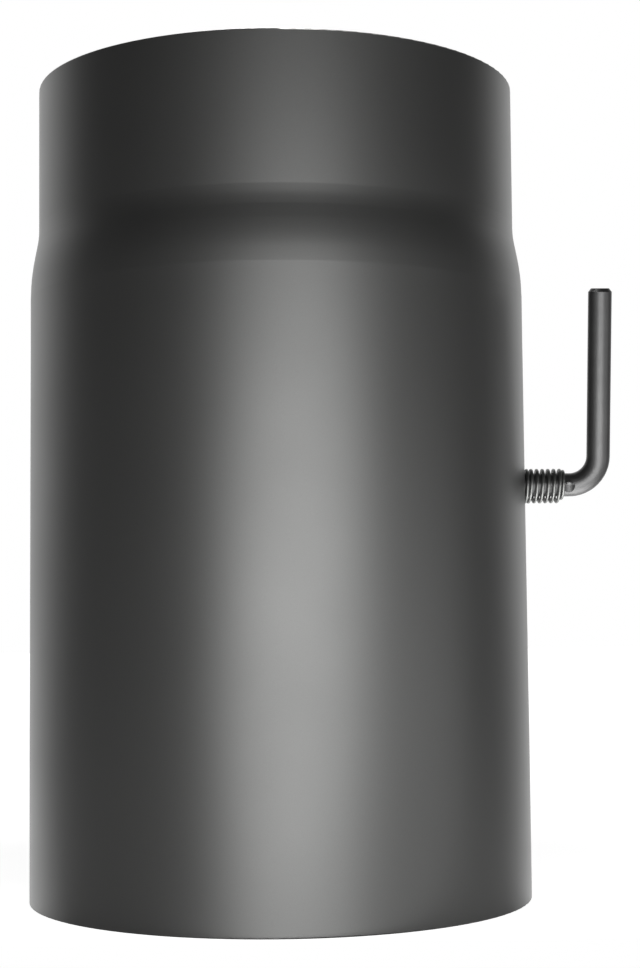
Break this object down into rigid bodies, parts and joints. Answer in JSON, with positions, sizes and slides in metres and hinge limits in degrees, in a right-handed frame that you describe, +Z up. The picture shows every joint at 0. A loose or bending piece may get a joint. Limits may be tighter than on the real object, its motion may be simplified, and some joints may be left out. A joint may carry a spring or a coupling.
{
  "type": "stove pipe damper",
  "caption": "Short steel flue pipe section, drawn in at one end to join the next pipe, with an inner flap turned by a bent rod handle to throttle a stove's draught.",
  "frame": {"origin": "on the pipe's axis at the rim of its wide end", "axes": "+Z up the pipe to its narrow end, +X along the rod to the handle"},
  "size_m": [0.1811, 0.154, 0.25],
  "materials": {
    "heat_paint": "satin heat-resistant paint",
    "dark_rod": "dark satin",
    "spring_steel": "oiled dark spring wire",
    "flap_steel": "plain rolled sheet",
    "fastener_steel": "plain"
  },
  "bodies": {
    "pipe": {"pipe_body": "heat_paint"},
    "flap": {"control_rod": "dark_rod", "thrust_spring": "spring_steel", "flap_plate": "flap_steel", "flap_bolts": "fastener_steel", "lock_washers": "fastener_steel", "flap_nuts": "fastener_steel"}
  },
  "joints": [
    {"name": "flap_turn", "type": "hinge", "parent": "pipe", "child": "flap", "pos_m": [0, 0, 0.12645], "axis": [1, 0, 0], "continuous": true}
  ]
}
